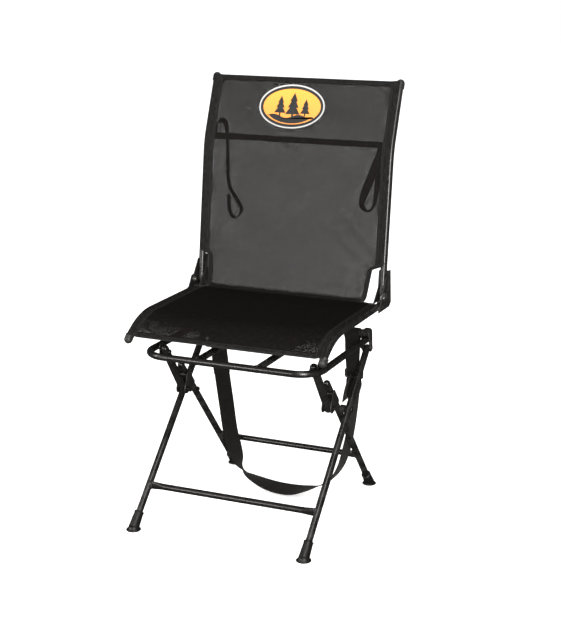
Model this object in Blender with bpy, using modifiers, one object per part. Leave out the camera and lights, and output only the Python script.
"""Folding swivel chair for a hunting blind: X legs under a tube loop, a swivel, a seat and a fold-down back.

Metres, +Z up, feet on z = 0. The sitter looks along -Y. Left is -X and right is +X, as seen from the front.
"""

import math

import bmesh
import bpy
from mathutils import Matrix, Vector
from mathutils.geometry import convex_hull_2d

SIDES = (("left", -1), ("right", 1))
GAP = 0.0003
FRAME_CENTRE_Y = 0.0587

# Tubes
TUBE_R = 0.008
BAR_R = 0.0075
LINK_R = 0.0095
TUBE_SIDES = 16
PLATE = 0.0022

# Base loop, in its own plane
LOOP_Z = 0.406
LOOP_HALF_X = 0.2135
LOOP_FRONT_Y = -0.137
LOOP_REAR_Y = 0.188
LOOP_CORNER_R = 0.055
CROSS_TUBE_Y = 0.180
CROSS_TUBE_Z = LOOP_Z + 2 * TUBE_R + GAP
SWIVEL_RAIL_X = 0.075

# Folding legs, as (y, z) points in the side view
FRONT_FOOT = (-0.200, 0.003)
REAR_FOOT = (0.289, 0.003)
LEG_TOP_PIVOT = (0.186, 0.385)
REAR_LEG_TOP = (0.0014, 0.3467)
LINK_LOW_PIVOT = (0.008, 0.286)
LINK_TOP_PIVOT = (-0.070, 0.398)
FRONT_LEG_X = 0.2135
REAR_LEG_X = 0.186
FRONT_BAR_AT = 0.21
REAR_BAR_AT = 0.30
BOLT_R = 0.003
BOLT_HEAD_R = 0.0062
BOLT_HEAD_H = 0.003

# Rubber feet
FOOT_R = 0.017
FOOT_SLEEVE_R = 0.0108
FOOT_SLEEVE_TOP_Z = 0.034
FOOT_SOLE = 0.005

# Swivel
SWIVEL_Y = 0.040
SWIVEL_PLATE_X = 0.190
SWIVEL_PLATE_Y = 0.176
SWIVEL_PLATE_T = 0.003
RACE_IN_R = 0.052
RACE_OUT_R = 0.074
RACE_H = 0.0035
KINGPIN_R = 0.006

# Seat
SEAT_X = 0.238
SEAT_Z = 0.486
SEAT_REAR_Y = 0.203
SEAT_BEND_Y = -0.045
SEAT_BEND_R = 0.155
SEAT_BEND_DEG = 43.2
SEAT_CROSS_Y = (-0.020, 0.104)
SHEET_T = 0.003
SHEET_HALF_X = 0.2296

# Back
HINGE = (0.196, 0.506)
BACK_LOW = (0.2165, 0.500)
BACK_MID = (0.262, 0.842)
BACK_TOP = (0.322, 0.991)
BACK_BAR_Z = 0.852
BACK_BAR_SET_BACK = 0.012
RAIL_CAP_R = 0.0102
RAIL_CAP_SLEEVE = 0.012

# Carry strap and hang loops
STRAP_W = 0.038
STRAP_T = 0.0016
HANG_LOOP_W = 0.020

BLACK_METAL = ("black_metal", (0.028, 0.027, 0.026), 0.38, 0.6)
BLACK_PLASTIC = ("black_plastic", (0.022, 0.022, 0.022), 0.5, 0.0)
BLACK_RUBBER = ("black_rubber", (0.018, 0.018, 0.018), 0.8, 0.0)
BRIGHT_STEEL = ("bright_steel", (0.5, 0.49, 0.47), 0.3, 1.0)
BLACK_MESH = ("black_mesh", (0.03, 0.03, 0.03), 0.85, 0.0)
BLACK_WEBBING = ("black_webbing", (0.02, 0.017, 0.016), 0.85, 0.0)


# ---------------------------------------------------------------- scene and helpers

def clear_scene():
    for obj in list(bpy.data.objects):
        bpy.data.objects.remove(obj)


def new_collection(name):
    collection = bpy.data.collections.new(name)
    bpy.context.scene.collection.children.link(collection)
    return collection


clear_scene()
PARTS = new_collection("blind_swivel_chair")
CUTTERS = new_collection("cutters")


def material(spec):
    name, colour, roughness, metallic = spec
    if name in bpy.data.materials:
        return bpy.data.materials[name]
    made = bpy.data.materials.new(name)
    made.use_nodes = True
    shader = made.node_tree.nodes["Principled BSDF"]
    shader.inputs["Base Color"].default_value = (*colour, 1.0)
    shader.inputs["Roughness"].default_value = roughness
    shader.inputs["Metallic"].default_value = metallic
    return made


def add_object(name, data, spec, pivot=None):
    """Links an object whose data is in world space, under the empty on its joint's axis."""
    obj = bpy.data.objects.new(name, data)
    PARTS.objects.link(obj)
    obj.data.materials.clear()
    obj.data.materials.append(material(spec))
    if pivot:
        obj.parent = pivot
        obj.matrix_parent_inverse = pivot.matrix_world.inverted()
    return obj


def pivot_empty(name, location, parent=None):
    empty = bpy.data.objects.new(name, None)
    empty.empty_display_size = 0.04
    PARTS.objects.link(empty)
    empty.parent = parent
    empty.location = Vector(location) - (parent.matrix_world.translation if parent else Vector())
    bpy.context.view_layer.update()
    return empty


def side_point(x, yz):
    """A point of the side view, placed at x."""
    return Vector((x, yz[0], yz[1]))


def between(a, b, t):
    """The side-view point at share t of the way from a to b."""
    return (a[0] + (b[0] - a[0]) * t, a[1] + (b[1] - a[1]) * t)


def crossing(a, b, c, d):
    """Where the side-view line a-b meets the line c-d."""
    ux, uz, vx, vz = b[0] - a[0], b[1] - a[1], d[0] - c[0], d[1] - c[1]
    t = ((c[0] - a[0]) * vz - (c[1] - a[1]) * vx) / (ux * vz - uz * vx)
    return between(a, b, t)


def beyond(a, b, distance):
    """The side-view point past b, on the line from a, at that distance from b."""
    length = math.hypot(b[0] - a[0], b[1] - a[1])
    return between(a, b, 1 + distance / length)


def rounded_path(corners, radius, steps=8):
    """A polyline whose inner corners are arcs of the given radius."""
    points = [Vector(corners[0])]
    for before, corner, after in zip(corners, corners[1:], corners[2:]):
        corner = Vector(corner)
        into = (Vector(before) - corner).normalized()
        out = (Vector(after) - corner).normalized()
        half = into.angle(out) / 2
        bisector = (into + out).normalized()
        centre = corner + bisector * (radius / math.sin(half))
        start = corner + into * (radius / math.tan(half)) - centre
        end = corner + out * (radius / math.tan(half)) - centre
        sweep = start.angle(end)
        for i in range(steps + 1):
            t = i / steps
            arm = (start * math.sin((1 - t) * sweep) + end * math.sin(t * sweep)) / math.sin(sweep)
            points.append(centre + arm)
    points.append(Vector(corners[-1]))
    return points


def tube_curve(points, radius, round_ends=False, sides=TUBE_SIDES):
    """A filled round tube along points; its ends are flat, or domed past the last points."""
    stations = [(Vector(p), 1.0) for p in points]
    if round_ends:
        for end, inner in ((0, 1), (-1, -2)):
            tip = stations[end][0]
            out = (tip - stations[inner][0]).normalized()
            dome = [
                (tip + out * radius * math.sin(a), math.cos(a))
                for a in (math.radians(d) for d in (28, 54, 78))
            ]
            stations = dome[::-1] + stations if end == 0 else stations + dome
    curve = bpy.data.curves.new("tube", "CURVE")
    curve.dimensions = "3D"
    curve.bevel_depth = radius
    curve.bevel_resolution = sides // 2 - 2
    curve.render_resolution_u = 0
    curve.use_fill_caps = True
    spline = curve.splines.new("POLY")
    spline.points.add(len(stations) - 1)
    for slot, (place, share) in zip(spline.points, stations):
        slot.co = (*place, 1.0)
        slot.radius = share
    return curve


def smooth(mesh):
    mesh.shade_smooth()
    mesh.set_sharp_from_angle(angle=math.radians(35))
    return mesh


def as_mesh(curve):
    """The evaluated curve as a mesh with welded caps."""
    holder = bpy.data.objects.new("holder", curve)
    CUTTERS.objects.link(holder)
    bpy.context.view_layer.update()
    evaluated = holder.evaluated_get(bpy.context.evaluated_depsgraph_get())
    mesh = bpy.data.meshes.new_from_object(evaluated)
    bpy.data.objects.remove(holder)
    bm = bmesh.new()
    bm.from_mesh(mesh)
    bmesh.ops.remove_doubles(bm, verts=bm.verts, dist=1e-6)
    bmesh.ops.recalc_face_normals(bm, faces=bm.faces)
    bm.to_mesh(mesh)
    bm.free()
    return smooth(mesh)


def tube(name, points, radius, spec, pivot=None, round_ends=False, sides=TUBE_SIDES):
    return add_object(name, as_mesh(tube_curve(points, radius, round_ends, sides)), spec, pivot)


def cylinder_mesh(centre, axis, radius, length, sides=TUBE_SIDES):
    bm = bmesh.new()
    bmesh.ops.create_cone(bm, cap_ends=True, segments=sides, radius1=radius, radius2=radius, depth=length)
    turn = Vector((0, 0, 1)).rotation_difference(Vector(axis)).to_matrix().to_4x4()
    bm.transform(Matrix.Translation(centre) @ turn)
    mesh = bpy.data.meshes.new("cylinder")
    bm.to_mesh(mesh)
    bm.free()
    return smooth(mesh)


def box_mesh(low, high, turn=None):
    """A box between two corners, then turned by the matrix."""
    low, high = Vector(low), Vector(high)
    bm = bmesh.new()
    bmesh.ops.create_cube(bm, size=1.0)
    bm.transform(Matrix.Translation((low + high) / 2) @ Matrix.Diagonal((*(high - low), 1.0)))
    if turn:
        bm.transform(turn)
    mesh = bpy.data.meshes.new("box")
    bm.to_mesh(mesh)
    bm.free()
    return mesh


def plate_mesh(outline, x_low, x_high):
    """A flat plate of a side-view outline, between two values of x."""
    curve = bpy.data.curves.new("plate", "CURVE")
    curve.dimensions = "2D"
    curve.fill_mode = "BOTH"
    curve.extrude = (x_high - x_low) / 2
    curve.render_resolution_u = 0
    spline = curve.splines.new("POLY")
    spline.points.add(len(outline) - 1)
    spline.use_cyclic_u = True
    for slot, (y, z) in zip(spline.points, outline):
        slot.co = (y, z, 0.0, 1.0)
    mesh = as_mesh(curve)
    axes = Matrix(((0, 0, 1, (x_low + x_high) / 2), (1, 0, 0, 0), (0, 1, 0, 0), (0, 0, 0, 1)))
    mesh.transform(axes)
    return mesh


def hull_outline(circles, steps=20):
    """The outline round side-view circles of (y, z, radius), as if a band were stretched over them."""
    dots = []
    for y, z, radius in circles:
        for i in range(steps):
            angle = 2 * math.pi * i / steps
            dots.append((y + radius * math.cos(angle), z + radius * math.sin(angle)))
    return [dots[i] for i in convex_hull_2d([Vector(d) for d in dots])]


def turned_mesh(profile, steps=TUBE_SIDES, closed=False):
    """A turned solid about +Z from a profile of (radius, height), listed from top to bottom."""
    mesh = bpy.data.meshes.new("turned")
    edges = [(i, i + 1) for i in range(len(profile) - 1)]
    if closed:
        edges.append((len(profile) - 1, 0))
    mesh.from_pydata([(r, 0.0, h) for r, h in profile], edges, [])
    holder = bpy.data.objects.new("turned", mesh)
    CUTTERS.objects.link(holder)
    screw = holder.modifiers.new("turn", "SCREW")
    screw.steps = steps
    screw.render_steps = steps
    screw.use_merge_vertices = True
    screw.merge_threshold = 0.00001
    bpy.context.view_layer.update()
    evaluated = holder.evaluated_get(bpy.context.evaluated_depsgraph_get())
    solid = bpy.data.meshes.new_from_object(evaluated)
    bpy.data.objects.remove(holder)
    bm = bmesh.new()
    bm.from_mesh(solid)
    bmesh.ops.recalc_face_normals(bm, faces=bm.faces)
    bm.to_mesh(solid)
    bm.free()
    return smooth(solid)


def combined(base, others, operation):
    """The mesh base joined with, or cut by, each of the other meshes."""
    holder = bpy.data.objects.new("holder", base)
    CUTTERS.objects.link(holder)
    tools = []
    for i, other in enumerate(others):
        cutter = bpy.data.objects.new(f"cutter_{i}", other)
        CUTTERS.objects.link(cutter)
        tools.append(cutter)
        step = holder.modifiers.new(f"step_{i}", "BOOLEAN")
        step.operation = operation
        step.solver = "EXACT"
        step.object = cutter
    bpy.context.view_layer.update()
    evaluated = holder.evaluated_get(bpy.context.evaluated_depsgraph_get())
    mesh = bpy.data.meshes.new_from_object(evaluated)
    for obj in [holder] + tools:
        bpy.data.objects.remove(obj)
    bm = bmesh.new()
    bm.from_mesh(mesh)
    bmesh.ops.remove_doubles(bm, verts=bm.verts, dist=1e-6)
    bmesh.ops.dissolve_degenerate(bm, edges=bm.edges, dist=1e-6)
    bm.to_mesh(mesh)
    bm.free()
    return smooth(mesh)


def joined(base, *others):
    return combined(base, others, "UNION")


def cut(base, *others):
    return combined(base, others, "DIFFERENCE")


def bolt_hole(yz, x, length, radius=BOLT_R + GAP):
    return cylinder_mesh(side_point(x, yz), (1, 0, 0), radius, length)


def bolt_mesh(yz, x_start, x_end, side, nut=True):
    """A bolt along X between the outer faces x_start and x_end; side is the way its round head points."""
    length = x_end - x_start
    low_r = BOLT_HEAD_R if nut else BOLT_R
    profile = [(0, BOLT_HEAD_H), (BOLT_HEAD_R * 0.6, BOLT_HEAD_H * 0.85)]
    profile += [(BOLT_HEAD_R * 0.95, BOLT_HEAD_H * 0.4), (BOLT_HEAD_R, GAP), (BOLT_R, GAP)]
    if nut:
        profile += [(BOLT_R, -length - GAP), (low_r, -length - GAP), (low_r, -length - BOLT_HEAD_H)]
        profile += [(BOLT_R, -length - BOLT_HEAD_H), (BOLT_R, -length - BOLT_HEAD_H * 1.4)]
        profile += [(0, -length - BOLT_HEAD_H * 1.4)]
    else:
        profile += [(BOLT_R, -length), (0, -length)]
    mesh = turned_mesh(profile, steps=12)
    head_x = x_end if side > 0 else x_start
    mesh.transform(Matrix.Translation(side_point(head_x, yz)) @ Matrix.Rotation(side * math.pi / 2, 4, "Y"))
    return mesh


def ribbon(name, stations, width, thickness, spec, pivot=None):
    """Flat webbing through stations of (centre, width direction)."""
    bm = bmesh.new()
    rows = []
    for i, (centre, across) in enumerate(stations):
        ahead = Vector(stations[min(i + 1, len(stations) - 1)][0])
        behind = Vector(stations[max(i - 1, 0)][0])
        tangent = (ahead - behind).normalized()
        across = Vector(across)
        across = (across - tangent * across.dot(tangent)).normalized()
        rows.append([bm.verts.new(Vector(centre) + across * width * s) for s in (-0.5, 0.5)])
    for (a, b), (c, d) in zip(rows, rows[1:]):
        bm.faces.new((a, b, d, c))
    mesh = bpy.data.meshes.new(name)
    bm.to_mesh(mesh)
    bm.free()
    obj = add_object(name, mesh, spec, pivot)
    shell = obj.modifiers.new("webbing", "SOLIDIFY")
    shell.thickness = thickness
    shell.offset = 0.0
    return obj


def smooth_stations(stations, steps=3):
    """Catmull-Rom points between stations, so that the webbing bends evenly."""
    made = []
    last = len(stations) - 1
    for i in range(last):
        quad = [stations[max(i - 1, 0)], stations[i], stations[i + 1], stations[min(i + 2, last)]]
        for k in range(steps):
            t = k / steps
            weights = (
                -0.5 * t + t * t - 0.5 * t ** 3,
                1 - 2.5 * t * t + 1.5 * t ** 3,
                0.5 * t + 2 * t * t - 1.5 * t ** 3,
                -0.5 * t * t + 0.5 * t ** 3,
            )
            made.append(tuple(
                sum((Vector(q[part]) * w for q, w in zip(quad, weights)), Vector()) for part in (0, 1)
            ))
    made.append((Vector(stations[-1][0]), Vector(stations[-1][1])))
    return made


# ---------------------------------------------------------------- derived places

CROSS_PIVOT = crossing(FRONT_FOOT, LEG_TOP_PIVOT, REAR_FOOT, REAR_LEG_TOP)
RAIL_TOP_Z = LOOP_Z + TUBE_R
LOWER_PLATE_Z = RAIL_TOP_Z + GAP
UPPER_PLATE_Z = LOWER_PLATE_Z + SWIVEL_PLATE_T + 2 * RACE_H + 3 * GAP
SEAT_CROSS_Z = UPPER_PLATE_Z + SWIVEL_PLATE_T + GAP + TUBE_R
SEAT_CROSS_END_Z = SEAT_Z - 0.007
SEAT_CROSS_LOW_X = 0.098
SEAT_CROSS_HIGH_X = 0.205
BACK_TILT = math.atan2(BACK_MID[0] - BACK_LOW[0], BACK_MID[1] - BACK_LOW[1])


def seat_rail_point(angle_deg):
    """The seat rail's axis on the front bend, at an angle from its start."""
    a = math.radians(angle_deg)
    return (SEAT_BEND_Y - SEAT_BEND_R * math.sin(a), SEAT_Z - SEAT_BEND_R * (1 - math.cos(a)))


def seat_rail_line(last_deg=SEAT_BEND_DEG, steps=9):
    """The seat rail's axis in the side view, from the rear end to the front end."""
    bend = [seat_rail_point(last_deg * i / steps) for i in range(steps + 1)]
    return [(SEAT_REAR_Y, SEAT_Z)] + bend


def back_rail_line():
    """The back rail's axis in the side view, from the hinge to the swept-back top."""
    corners = [Vector((*BACK_LOW, 0)), Vector((*BACK_MID, 0)), Vector((*BACK_TOP, 0))]
    return [(p.x, p.y) for p in rounded_path(corners, 0.230, steps=8)]


# ---------------------------------------------------------------- base frame

def make_base_loop():
    ends = [(s * LOOP_HALF_X, LOOP_REAR_Y, LOOP_Z) for s in (-1, 1)]
    corners = [(s * LOOP_HALF_X, LOOP_FRONT_Y, LOOP_Z) for s in (-1, 1)]
    path = rounded_path([ends[0], corners[0], corners[1], ends[1]], LOOP_CORNER_R, steps=7)
    tube("base_loop_tube", path, TUBE_R, BLACK_METAL, round_ends=True)


def make_base_tubes():
    end = LOOP_HALF_X - TUBE_R - 2 * GAP - PLATE
    ends = [(s * end, CROSS_TUBE_Y, CROSS_TUBE_Z) for s in (-1, 1)]
    tube("rear_cross_tube", ends, TUBE_R, BLACK_METAL)
    front = LOOP_FRONT_Y + TUBE_R + GAP
    rear = CROSS_TUBE_Y + TUBE_R
    for word, s in SIDES:
        x = s * SWIVEL_RAIL_X
        tube(f"swivel_rail_{word}", [(x, front, LOOP_Z), (x, rear, LOOP_Z)], TUBE_R, BLACK_METAL)


def make_leg_bracket(word, s):
    """A tall saddle over the loop's rear end, whose two cheeks hold the front leg's top."""
    inside, outside = TUBE_R + GAP, TUBE_R + GAP + PLATE
    y, z = LEG_TOP_PIVOT
    top = CROSS_TUBE_Z
    outline = hull_outline([(y, z, 0.0095), (y - 0.010, top, 0.0085), (y - 0.002, top, 0.0085)])
    block = plate_mesh(outline, FRONT_LEG_X - outside, FRONT_LEG_X + outside)
    deep = 0.06
    slot = box_mesh((FRONT_LEG_X - inside, y - deep, z - deep), (FRONT_LEG_X + inside, y + deep, top - PLATE))
    bore = cylinder_mesh((FRONT_LEG_X, y, top - PLATE), (0, 1, 0), TUBE_R + GAP, 2 * deep)
    mesh = cut(block, slot, bore, bolt_hole(LEG_TOP_PIVOT, FRONT_LEG_X, deep))
    if s < 0:
        mirror_x(mesh)
    add_object(f"leg_bracket_{word}", mesh, BLACK_METAL)


def mirror_x(mesh):
    mesh.transform(Matrix.Diagonal((-1, 1, 1, 1)))
    mesh.flip_normals()


def make_link_hanger(word, s):
    """An angle welded inside the loop's front corner, beside the fold link's top pivot, with its nut."""
    y, z = LINK_TOP_PIVOT
    low = REAR_LEG_X + LINK_R + GAP
    high = low + PLATE
    cheek = plate_mesh(hull_outline([(y, z, 0.012), (y, LOOP_Z + 0.002, 0.012)]), low, high)
    tab_end = LOOP_HALF_X - TUBE_R - GAP
    tab = box_mesh((low, y - 0.012, LOOP_Z - 0.0012), (tab_end, y + 0.012, LOOP_Z + 0.0012))
    nut = cylinder_mesh((high + 0.0015, y, z), (1, 0, 0), 0.0055, 0.004, sides=6)
    mesh = joined(cheek, tab, nut)
    if s < 0:
        mirror_x(mesh)
    add_object(f"link_hanger_{word}", mesh, BLACK_METAL)


def make_leg_top_bolt(word, s):
    reach = TUBE_R + GAP + PLATE
    ends = sorted((s * (FRONT_LEG_X - reach), s * (FRONT_LEG_X + reach)))
    add_object(f"leg_top_bolt_{word}", bolt_mesh(LEG_TOP_PIVOT, *ends, s), BRIGHT_STEEL)


def race_profile(z_top):
    return [
        (RACE_IN_R, z_top),
        (RACE_OUT_R, z_top),
        (RACE_OUT_R, z_top - RACE_H),
        (RACE_IN_R, z_top - RACE_H),
    ]


def swivel_plate_mesh(z_low):
    half_x, half_y = SWIVEL_PLATE_X / 2, SWIVEL_PLATE_Y / 2
    plate = box_mesh((-half_x, -half_y, z_low), (half_x, half_y, z_low + SWIVEL_PLATE_T))
    plate.transform(Matrix.Translation((0, SWIVEL_Y, 0)))
    return plate


def placed_race(z_top):
    mesh = turned_mesh(race_profile(z_top), steps=28, closed=True)
    mesh.transform(Matrix.Translation((0, SWIVEL_Y, 0)))
    return mesh


def kingpin_hole():
    return cylinder_mesh((0, SWIVEL_Y, LOWER_PLATE_Z), (0, 0, 1), KINGPIN_R + GAP, 0.05)


def make_lower_swivel():
    plate = cut(swivel_plate_mesh(LOWER_PLATE_Z), kingpin_hole())
    race_top = LOWER_PLATE_Z + SWIVEL_PLATE_T + RACE_H
    overlap = 0.0004
    race = placed_race(race_top)
    race.transform(Matrix.Translation((0, 0, -overlap)))
    add_object("swivel_lower_plate", joined(plate, race), BLACK_METAL)
    top = UPPER_PLATE_Z + SWIVEL_PLATE_T + GAP
    low = LOWER_PLATE_Z - GAP
    head_r, head_h = 0.011, 0.003
    profile = [(0, top + head_h), (head_r * 0.8, top + head_h), (head_r, top), (KINGPIN_R, top)]
    profile += [(KINGPIN_R, low), (head_r, low), (head_r, low - head_h), (0, low - head_h)]
    pin = turned_mesh(profile)
    pin.transform(Matrix.Translation((0, SWIVEL_Y, 0)))
    add_object("swivel_kingpin", pin, BRIGHT_STEEL)


# ---------------------------------------------------------------- carry strap

# Each station is a centre and the way the strap's width points, from the left end to the slider.
STRAP_STATIONS = [
    ((-0.175, 0.1800, 0.345), (1, 0, 0)),
    ((-0.169, 0.1830, 0.276), (1, 0, 0.05)),
    ((-0.160, 0.1850, 0.204), (1, 0, 0)),
    ((-0.149, 0.1830, 0.132), (1, -0.05, 0.1)),
    ((-0.134, 0.1760, 0.091), (0.85, -0.4, 0.35)),
    ((-0.119, 0.1670, 0.063), (0.5, -0.75, 0.45)),
    ((-0.102, 0.1580, 0.044), (0.08, -0.82, 0.57)),
    ((-0.080, 0.1500, 0.031), (0, -0.98, 0.15)),
    ((-0.041, 0.1420, 0.021), (0, -0.96, -0.25)),
    ((-0.003, 0.1370, 0.016), (0, -0.9, -0.42)),
    ((0.038, 0.1360, 0.016), (0, -0.9, -0.42)),
    ((0.076, 0.1400, 0.023), (0, -1, -0.1)),
    ((0.113, 0.1460, 0.035), (0, -1, 0.25)),
    ((0.140, 0.1530, 0.056), (0.1, -1, 0.1)),
    ((0.157, 0.1600, 0.083), (0.15, -1, 0)),
    ((0.165, 0.1680, 0.110), (0.17, -0.98, 0)),
    ((0.169, 0.1850, 0.146), (0.2, -0.97, 0)),
    ((0.172, 0.1960, 0.184), (0.25, -0.97, 0)),
    ((0.176, 0.1970, 0.228), (0.25, -0.97, 0)),
    ((0.178, 0.1930, 0.262), (-0.2, -0.98, 0)),
    ((0.180, 0.1890, 0.284), (-0.8, -0.6, 0)),
    ((0.181, 0.1860, 0.302), (-1, 0, 0)),
]
STRAP_LOOP_X = {"left": -0.175, "right": 0.179}
STRAP_LOOP_LOW_Z = {"left": 0.348, "right": 0.330}
SLIDER_H = 0.024


def strap_loop(name, x, foot_z):
    """A closed band over the rear cross tube, sewn to itself below; x is its middle."""
    ring_r = TUBE_R + 2 * GAP + STRAP_T / 2
    turns = 14
    path = []
    for i in range(turns + 1):
        angle = math.pi * i / turns
        path.append((CROSS_TUBE_Y + ring_r * math.cos(angle), CROSS_TUBE_Z + ring_r * math.sin(angle)))
    leg = STRAP_T / 2 + GAP / 2
    path.insert(0, (CROSS_TUBE_Y + leg, CROSS_TUBE_Z - 0.022))
    path.insert(0, (CROSS_TUBE_Y + leg, foot_z))
    path.append((CROSS_TUBE_Y - leg, CROSS_TUBE_Z - 0.022))
    path.append((CROSS_TUBE_Y - leg, foot_z))
    ribbon(name, [((x, y, z), (1, 0, 0)) for y, z in path], STRAP_W, STRAP_T, BLACK_WEBBING)


def make_strap():
    for word, _ in SIDES:
        strap_loop(f"strap_loop_{word}", STRAP_LOOP_X[word], STRAP_LOOP_LOW_Z[word])
    ribbon("carry_strap", smooth_stations(STRAP_STATIONS), STRAP_W, STRAP_T, BLACK_WEBBING)
    centre = Vector(STRAP_STATIONS[-1][0]) + Vector((0, 0, 0.0145))
    half_x, half_y, half_z = 0.024, 0.0035, SLIDER_H / 2
    frame = box_mesh(centre - Vector((half_x, half_y, half_z)), centre + Vector((half_x, half_y, half_z)))
    slots = []
    for s in (-1, 1):
        middle = centre + Vector((0, 0, s * 0.0055))
        slots.append(box_mesh(middle - Vector((0.020, 0.01, 0.0028)), middle + Vector((0.020, 0.01, 0.0028))))
    add_object("strap_slider", cut(frame, *slots), BLACK_PLASTIC)


# ---------------------------------------------------------------- folding legs

def make_boot(name, foot, top, x, pivot):
    """A rubber boot on a leg's lower end: a sleeve along the leg, on a saucer that lies on the ground."""
    axis = (side_point(0, top) - side_point(0, foot)).normalized()
    start = side_point(x, foot)
    reach = (FOOT_SLEEVE_TOP_Z - foot[1]) / axis.z
    sleeve = cylinder_mesh(start + axis * reach / 2, axis, FOOT_SLEEVE_R, reach)
    low = 0.0
    profile = [(0, 0.013), (FOOT_SLEEVE_R, 0.013), (FOOT_R * 0.86, FOOT_SOLE), (FOOT_R, FOOT_SOLE * 0.55)]
    profile += [(FOOT_R * 0.97, low), (0, low)]
    saucer = turned_mesh(profile, steps=20)
    saucer.transform(Matrix.Translation((x, foot[0] + 0.002 * math.copysign(1, axis.y), 0)))
    socket = cylinder_mesh(start + axis * (LEG_START + 0.05), axis, TUBE_R + GAP, 0.1)
    floor_trim = box_mesh((x - 0.05, foot[0] - 0.05, -0.05), (x + 0.05, foot[0] + 0.05, 0.0))
    add_object(name, cut(joined(sleeve, saucer), socket, floor_trim), BLACK_RUBBER, pivot)


LEG_START = 0.014


def make_front_legs(pivot):
    sole = beyond(LEG_TOP_PIVOT, FRONT_FOOT, -LEG_START - GAP)
    for word, s in SIDES:
        x = s * FRONT_LEG_X
        axis = [side_point(x, LEG_TOP_PIVOT), side_point(x, sole)]
        body = as_mesh(tube_curve(axis, TUBE_R, round_ends=True))
        end_trim = Vector((0, *FRONT_FOOT)) - Vector((0, *LEG_TOP_PIVOT))
        end_trim = cylinder_mesh(side_point(x, sole) + end_trim.normalized() * 0.02, end_trim, 0.02, 0.04)
        holes = [bolt_hole(LEG_TOP_PIVOT, x, 0.05), bolt_hole(CROSS_PIVOT, x, 0.05)]
        add_object(f"front_leg_{word}", cut(body, end_trim, *holes), BLACK_METAL, pivot)
        make_boot(f"front_boot_{word}", FRONT_FOOT, LEG_TOP_PIVOT, x, pivot)
        make_spacer(word, s, pivot)
        span = sorted((s * (REAR_LEG_X - TUBE_R - GAP), s * (FRONT_LEG_X + TUBE_R + GAP)))
        add_object(f"leg_cross_bolt_{word}", bolt_mesh(CROSS_PIVOT, *span, s), BRIGHT_STEEL, pivot)
    bar = between(FRONT_FOOT, LEG_TOP_PIVOT, FRONT_BAR_AT)
    make_leg_bar("front_crossbar", bar, FRONT_LEG_X, BAR_R, pivot)


def make_leg_bar(name, place, leg_x, radius, pivot):
    """A tube between two legs that narrows to flattened ends against them."""
    end = leg_x - TUBE_R - GAP
    flat = 0.030
    bar = as_mesh(tube_curve([side_point(-end, place), side_point(end, place)], radius))
    bm = bmesh.new()
    bm.from_mesh(bar)
    cuts = [end - flat * i / 4 for i in range(1, 5)]
    for x in [-c for c in cuts] + cuts:
        geometry = bm.verts[:] + bm.edges[:] + bm.faces[:]
        bmesh.ops.bisect_plane(bm, geom=geometry, plane_co=(x, 0, 0), plane_no=(1, 0, 0))
    for v in bm.verts:
        share = max(0.0, (abs(v.co.x) - (end - flat)) / flat)
        ease = share * share * (3 - 2 * share)
        v.co.y = place[0] + (v.co.y - place[0]) * (1 - 0.45 * ease)
        v.co.z = place[1] + (v.co.z - place[1]) * (1 + 0.30 * ease)
    bm.to_mesh(bar)
    bm.free()
    add_object(name, smooth(bar), BLACK_METAL, pivot)


def make_spacer(word, s, pivot):
    x_low, x_high = REAR_LEG_X + TUBE_R + GAP, FRONT_LEG_X - TUBE_R - GAP
    half = (x_high - x_low) / 2
    profile = [(BOLT_R + GAP, half), (0.0095, half), (0.0095, -half), (BOLT_R + GAP, -half)]
    ring = turned_mesh(profile, closed=True)
    place = Matrix.Translation(side_point(s * (x_low + x_high) / 2, CROSS_PIVOT))
    ring.transform(place @ Matrix.Rotation(math.pi / 2, 4, "Y"))
    add_object(f"leg_spacer_{word}", ring, BLACK_PLASTIC, pivot)


def make_link_bracket_mesh():
    """A channel in front of the rear leg that holds the fold link's lower end between two cheeks."""
    leg = (side_point(0, REAR_LEG_TOP) - side_point(0, REAR_FOOT)).normalized()
    offset = side_point(0, LINK_LOW_PIVOT) - side_point(0, CROSS_PIVOT)
    foot = side_point(0, CROSS_PIVOT) + leg * offset.dot(leg)
    away = (foot - side_point(0, LINK_LOW_PIVOT)).normalized()
    inside, outside = LINK_R + GAP, LINK_R + GAP + PLATE
    reach = TUBE_R + GAP
    circles = [(*LINK_LOW_PIVOT, 0.0115)]
    for step in (-0.016, 0.020):
        middle = foot + leg * step - away * 0.003
        circles.append((middle.y, middle.z, 0.006))
    block = plate_mesh(hull_outline(circles, steps=20), REAR_LEG_X - outside, REAR_LEG_X + outside)
    frame = Matrix((Vector((1, 0, 0)), away, leg)).transposed().to_4x4()
    place = Matrix.Translation((REAR_LEG_X, foot.y, foot.z)) @ frame
    front = box_mesh((-inside, -0.1, -0.1), (inside, -reach - PLATE, 0.1), place)
    back = box_mesh((-inside, -reach, -0.1), (inside, 0.1, 0.1), place)
    return cut(block, front, back, bolt_hole(LINK_LOW_PIVOT, REAR_LEG_X, 0.05))


def make_leg_stop_mesh():
    """A rubber bumper that closes the space between the rear leg's top and the fold link."""
    link = (side_point(0, LINK_TOP_PIVOT) - side_point(0, LINK_LOW_PIVOT)).normalized()
    to_top = side_point(0, REAR_LEG_TOP) - side_point(0, LINK_LOW_PIVOT)
    nearest = side_point(0, LINK_LOW_PIVOT) + link * to_top.dot(link)
    away = (side_point(0, REAR_LEG_TOP) - nearest).normalized()
    distance = (side_point(0, REAR_LEG_TOP) - nearest).length
    low, high = LINK_R + GAP, distance - TUBE_R - GAP
    centre = nearest + away * (low + high) / 2
    centre.x = REAR_LEG_X
    return cylinder_mesh(centre, away, 0.0062, high - low)


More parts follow.
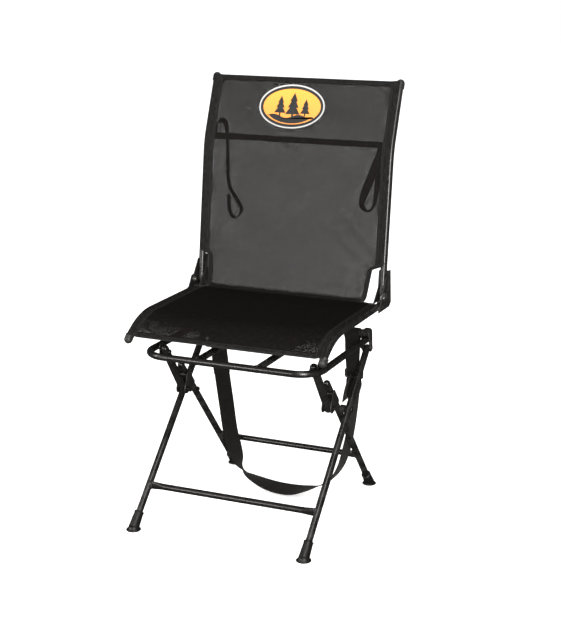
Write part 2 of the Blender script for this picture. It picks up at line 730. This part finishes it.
def make_rear_legs(pivot):
    sole = beyond(REAR_LEG_TOP, REAR_FOOT, -LEG_START - GAP)
    down = (side_point(0, REAR_FOOT) - side_point(0, REAR_LEG_TOP)).normalized()
    bracket = make_link_bracket_mesh()
    stop = make_leg_stop_mesh()
    for word, s in SIDES:
        x = s * REAR_LEG_X
        body = as_mesh(tube_curve([side_point(x, REAR_LEG_TOP), side_point(x, sole)], TUBE_R, True))
        end_trim = cylinder_mesh(side_point(x, sole) + down * 0.02, down, 0.02, 0.04)
        mesh = cut(body, end_trim, bolt_hole(CROSS_PIVOT, x, 0.05))
        add_object(f"rear_leg_{word}", mesh, BLACK_METAL, pivot)
        make_boot(f"rear_boot_{word}", REAR_FOOT, REAR_LEG_TOP, x, pivot)
        for name, source, spec in (("link_bracket", bracket, BLACK_METAL), ("leg_stop", stop, BLACK_RUBBER)):
            copy = source.copy()
            if s < 0:
                mirror_x(copy)
            add_object(f"{name}_{word}", copy, spec, pivot)
        half = LINK_R + GAP + PLATE
        bolt = bolt_mesh(LINK_LOW_PIVOT, x - half, x + half, -1)
        add_object(f"link_low_bolt_{word}", bolt, BRIGHT_STEEL, pivot)
    make_leg_bar("rear_crossbar", between(REAR_FOOT, REAR_LEG_TOP, REAR_BAR_AT), REAR_LEG_X, 0.0070, pivot)


def make_fold_links(pivot):
    tip = beyond(LINK_LOW_PIVOT, LINK_TOP_PIVOT, 0.010)
    tail = beyond(LINK_TOP_PIVOT, LINK_LOW_PIVOT, 0.003)
    for word, s in SIDES:
        x = s * REAR_LEG_X
        body = as_mesh(tube_curve([side_point(x, tail), side_point(x, tip)], LINK_R, round_ends=True))
        blind = LINK_R * 2
        bore_x = x - s * (LINK_R - blind / 2 + 0.002)
        mesh = cut(body, bolt_hole(LINK_LOW_PIVOT, x, 0.05), bolt_hole(LINK_TOP_PIVOT, bore_x, blind))
        add_object(f"fold_link_{word}", mesh, BLACK_METAL, pivot)
        inner = x - s * LINK_R
        ends = sorted((inner, inner + s * (blind - 0.0035)))
        bolt = bolt_mesh(LINK_TOP_PIVOT, *ends, -s, nut=False)
        add_object(f"link_top_bolt_{word}", bolt, BRIGHT_STEEL, pivot)


# ---------------------------------------------------------------- seat

def make_seat_frame(pivot):
    for word, s in SIDES:
        path = [side_point(s * SEAT_X, p) for p in seat_rail_line()]
        tube(f"seat_rail_{word}", path, TUBE_R, BLACK_METAL, pivot)
        tip, inner = seat_rail_point(SEAT_BEND_DEG), seat_rail_point(SEAT_BEND_DEG - 4)
        make_rail_cap(f"seat_rail_cap_{word}", s * SEAT_X, inner, tip, pivot)
    for word, y in zip(("front", "rear"), SEAT_CROSS_Y):
        low, high, end = SEAT_CROSS_Z, SEAT_CROSS_END_Z, SEAT_X - TUBE_R - GAP
        corners = [
            (-end, y, high), (-SEAT_CROSS_HIGH_X, y, high), (-SEAT_CROSS_LOW_X, y, low),
            (SEAT_CROSS_LOW_X, y, low), (SEAT_CROSS_HIGH_X, y, high), (end, y, high),
        ]
        tube(f"seat_cross_tube_{word}", rounded_path(corners, 0.05, steps=4), TUBE_R, BLACK_METAL, pivot)


def make_rail_cap(name, x, inner, tip, pivot):
    """A domed plastic cap that sleeves over a rail's end."""
    out = (side_point(0, tip) - side_point(0, inner)).normalized()
    start = side_point(x, tip) + out * 0.0008
    back = start - out * RAIL_CAP_SLEEVE
    cap = as_mesh(tube_curve([back, start], RAIL_CAP_R, round_ends=True))
    back_trim = cylinder_mesh(back - out * 0.02, out, 0.03, 0.04)
    socket_end = side_point(x, tip) + out * GAP
    socket = cylinder_mesh(socket_end - out * 0.025, out, TUBE_R + GAP, 0.05)
    add_object(name, cut(cap, back_trim, socket), BLACK_PLASTIC, pivot)


def make_upper_swivel(pivot):
    plate = cut(swivel_plate_mesh(UPPER_PLATE_Z), kingpin_hole())
    overlap = 0.0004
    race = placed_race(UPPER_PLATE_Z + overlap)
    add_object("swivel_upper_plate", joined(plate, race), BLACK_METAL, pivot)


def sheet_mesh(line, offset, half_x, thickness):
    """A flat sheet that follows a side-view line, offset to one side of it."""
    bm = bmesh.new()
    rows = []
    for i, point in enumerate(line):
        ahead, behind = line[min(i + 1, len(line) - 1)], line[max(i - 1, 0)]
        along = Vector((ahead[0] - behind[0], ahead[1] - behind[1])).normalized()
        normal = Vector((along.y, -along.x))
        rim = []
        for t in (-thickness / 2, thickness / 2):
            place = Vector(point) + normal * (offset + t)
            rim.append([bm.verts.new((s * half_x, place.x, place.y)) for s in (-1, 1)])
        rows.append(rim)
    for (low_a, high_a), (low_b, high_b) in zip(rows, rows[1:]):
        bm.faces.new((low_a[0], low_a[1], low_b[1], low_b[0]))
        bm.faces.new((high_a[0], high_b[0], high_b[1], high_a[1]))
        for side in (0, 1):
            bm.faces.new((low_a[side], low_b[side], high_b[side], high_a[side]))
    for low, high in (rows[0], rows[-1]):
        bm.faces.new((low[0], high[0], high[1], low[1]))
    bmesh.ops.recalc_face_normals(bm, faces=bm.faces)
    mesh = bpy.data.meshes.new("sheet")
    bm.to_mesh(mesh)
    bm.free()
    return mesh


def make_seat_mesh(pivot):
    line = seat_rail_line(last_deg=SEAT_BEND_DEG - 7.5)
    line[0] = (0.186, SEAT_Z)
    add_object("seat_mesh", sheet_mesh(line, 0.0040, SHEET_HALF_X, SHEET_T), BLACK_MESH, pivot)


BACK_PLATE_X = SEAT_X + TUBE_R + GAP
BACK_PLATE_T = 0.0020
BRACKET_X = BACK_PLATE_X + BACK_PLATE_T + GAP


def make_hinge_bracket_mesh():
    """The seat's hinge bracket: an outer cheek with the pivot, and a flange that backs the back rail."""
    y, z = HINGE
    outline = [
        (0.160, SEAT_Z - TUBE_R), (0.232, SEAT_Z - TUBE_R), (0.244, SEAT_Z + 0.001),
        (0.2385, 0.566), (0.2345, 0.566), (0.2295, 0.526), (0.2215, 0.516),
        (0.206, 0.519), (0.188, 0.517), (0.172, SEAT_Z + TUBE_R),
    ]
    cheek = plate_mesh(outline, BRACKET_X, BRACKET_X + PLATE)
    rail = Matrix.Translation(side_point(0, BACK_LOW)) @ Matrix.Rotation(-BACK_TILT, 4, "X")
    stand_off = TUBE_R + GAP
    low, high = (SEAT_X - 0.006, stand_off, -0.020), (BRACKET_X + PLATE, stand_off + PLATE, 0.066)
    flange = box_mesh(low, high, rail)
    bosses = [
        cylinder_mesh((BRACKET_X + (PLATE - BACK_PLATE_T) / 2 - GAP, boss_y, SEAT_Z), (1, 0, 0), 0.0055,
                      BACK_PLATE_T + PLATE)
        for boss_y in (0.170, 0.188)
    ]
    bosses = [trimmed_boss(boss) for boss in bosses]
    return cut(joined(cheek, flange, *bosses), bolt_hole(HINGE, BRACKET_X, 0.02))


def trimmed_boss(boss):
    """A boss that stops just short of the seat rail's outer side."""
    reach = 0.05
    keep_out = box_mesh((0, 0, 0), (BACK_PLATE_X, 2 * reach, 2 * SEAT_Z))
    return cut(boss, keep_out)


def make_back_hinges(pivot):
    bracket = make_hinge_bracket_mesh()
    for word, s in SIDES:
        copy = bracket.copy()
        if s < 0:
            mirror_x(copy)
        add_object(f"back_hinge_bracket_{word}", copy, BLACK_METAL, pivot)
        ends = sorted((s * BACK_PLATE_X, s * (BRACKET_X + PLATE)))
        add_object(f"back_hinge_pin_{word}", bolt_mesh(HINGE, *ends, s), BRIGHT_STEEL, pivot)


# ---------------------------------------------------------------- back

def make_back_frame(pivot):
    line = back_rail_line()
    rail = as_mesh(tube_curve([side_point(SEAT_X, p) for p in line], TUBE_R))
    low_y, low_z = BACK_LOW
    foot, top = (low_y + 0.0010, low_z + 0.010, 0.0072), (low_y + 0.0060, low_z + 0.048, 0.006)
    outline = hull_outline([(*HINGE, 0.0095), foot, top])
    overlap = 0.0012
    plate = plate_mesh(outline, BACK_PLATE_X, BACK_PLATE_X + BACK_PLATE_T)
    weld_y, weld_z = between(BACK_LOW, BACK_MID, 0.085)
    weld = cylinder_mesh((SEAT_X + TUBE_R, weld_y, weld_z), (1, 0, 0), 0.0045, 2 * overlap + GAP)
    mesh = cut(joined(rail, weld, plate), bolt_hole(HINGE, BACK_PLATE_X, 0.02))
    tip, inner = line[-1], line[-2]
    for word, s in SIDES:
        copy = mesh.copy()
        if s < 0:
            mirror_x(copy)
        add_object(f"back_rail_{word}", copy, BLACK_METAL, pivot)
        make_rail_cap(f"back_rail_cap_{word}", s * SEAT_X, inner, tip, pivot)
    share = (BACK_BAR_Z - BACK_LOW[1]) / (BACK_MID[1] - BACK_LOW[1])
    bar_y = between(BACK_LOW, BACK_MID, share)[0] + BACK_BAR_SET_BACK
    make_leg_bar("back_cross_bar", (bar_y, BACK_BAR_Z), SEAT_X, BAR_R, pivot)


def make_back_mesh(pivot):
    line = back_rail_line()
    line[0] = between(BACK_LOW, BACK_MID, 0.060)
    line[-1] = beyond(line[-2], line[-1], -0.016)
    add_object("back_mesh", sheet_mesh(line, -0.0040, SHEET_HALF_X, SHEET_T), BLACK_MESH, pivot)


# Each hang loop runs from the cross bar's end down and round its eye; the last stations close the eye.
LEFT_LOOP = [
    ((-0.206, 0.2880, 0.838), (0.6, 0.8, 0)),
    ((-0.197, 0.2900, 0.800), (0.15, 1, 0)),
    ((-0.195, 0.2880, 0.760), (0.1, 1, 0)),
    ((-0.191, 0.2860, 0.722), (0.2, 1, 0)),
    ((-0.176, 0.2850, 0.698), (0.3, 1, 0)),
    ((-0.160, 0.2850, 0.674), (0.2, 1, 0)),
    ((-0.163, 0.2850, 0.654), (0.2, 1, 0)),
    ((-0.175, 0.2850, 0.648), (0.1, 1, 0)),
    ((-0.187, 0.2850, 0.664), (0.1, 1, 0)),
    ((-0.193, 0.2850, 0.700), (0.1, 1, 0)),
]
RIGHT_LOOP = [
    ((0.206, 0.2880, 0.838), (0.8, 0.6, 0)),
    ((0.190, 0.2890, 0.800), (0.7, 0.7, 0)),
    ((0.176, 0.2870, 0.768), (0.6, 0.8, 0)),
    ((0.161, 0.2860, 0.736), (0.5, 0.9, 0)),
    ((0.152, 0.2860, 0.710), (0.4, 0.9, 0)),
    ((0.158, 0.2860, 0.692), (0.2, 1, 0)),
    ((0.172, 0.2860, 0.690), (0.1, 1, 0)),
    ((0.184, 0.2860, 0.704), (0.3, 1, 0)),
    ((0.186, 0.2870, 0.734), (0.4, 0.9, 0)),
    ((0.187, 0.2890, 0.764), (0.4, 0.9, 0)),
]


def make_hang_loops(pivot):
    for name, stations in (("hang_loop_left", LEFT_LOOP), ("hang_loop_right", RIGHT_LOOP)):
        ribbon(name, smooth_stations(stations), HANG_LOOP_W, STRAP_T, BLACK_WEBBING, pivot)


# ---------------------------------------------------------------- the chair

def make_chair():
    make_base_loop()
    make_base_tubes()
    make_lower_swivel()
    for word, s in SIDES:
        make_leg_bracket(word, s)
        make_leg_top_bolt(word, s)
        make_link_hanger(word, s)
    make_strap()

    leg_pivot = pivot_empty("front_leg_pivot", side_point(0, LEG_TOP_PIVOT))
    cross_pivot = pivot_empty("leg_cross_pivot", side_point(0, CROSS_PIVOT), leg_pivot)
    link_pivot = pivot_empty("link_pivot", side_point(0, LINK_LOW_PIVOT), cross_pivot)
    make_front_legs(leg_pivot)
    make_rear_legs(cross_pivot)
    make_fold_links(link_pivot)

    swivel_pivot = pivot_empty("swivel_pivot", (0, SWIVEL_Y, UPPER_PLATE_Z))
    back_pivot = pivot_empty("back_pivot", side_point(0, HINGE), swivel_pivot)
    make_upper_swivel(swivel_pivot)
    make_seat_frame(swivel_pivot)
    make_back_hinges(swivel_pivot)
    make_seat_mesh(swivel_pivot)
    make_back_frame(back_pivot)
    make_back_mesh(back_pivot)
    make_hang_loops(back_pivot)


def centre_on_origin():
    """Moves the chair along Y so that the origin is under the middle of its bounding box."""
    for obj in PARTS.objects:
        if obj.parent is None:
            obj.location.y -= FRAME_CENTRE_Y


make_chair()
centre_on_origin()
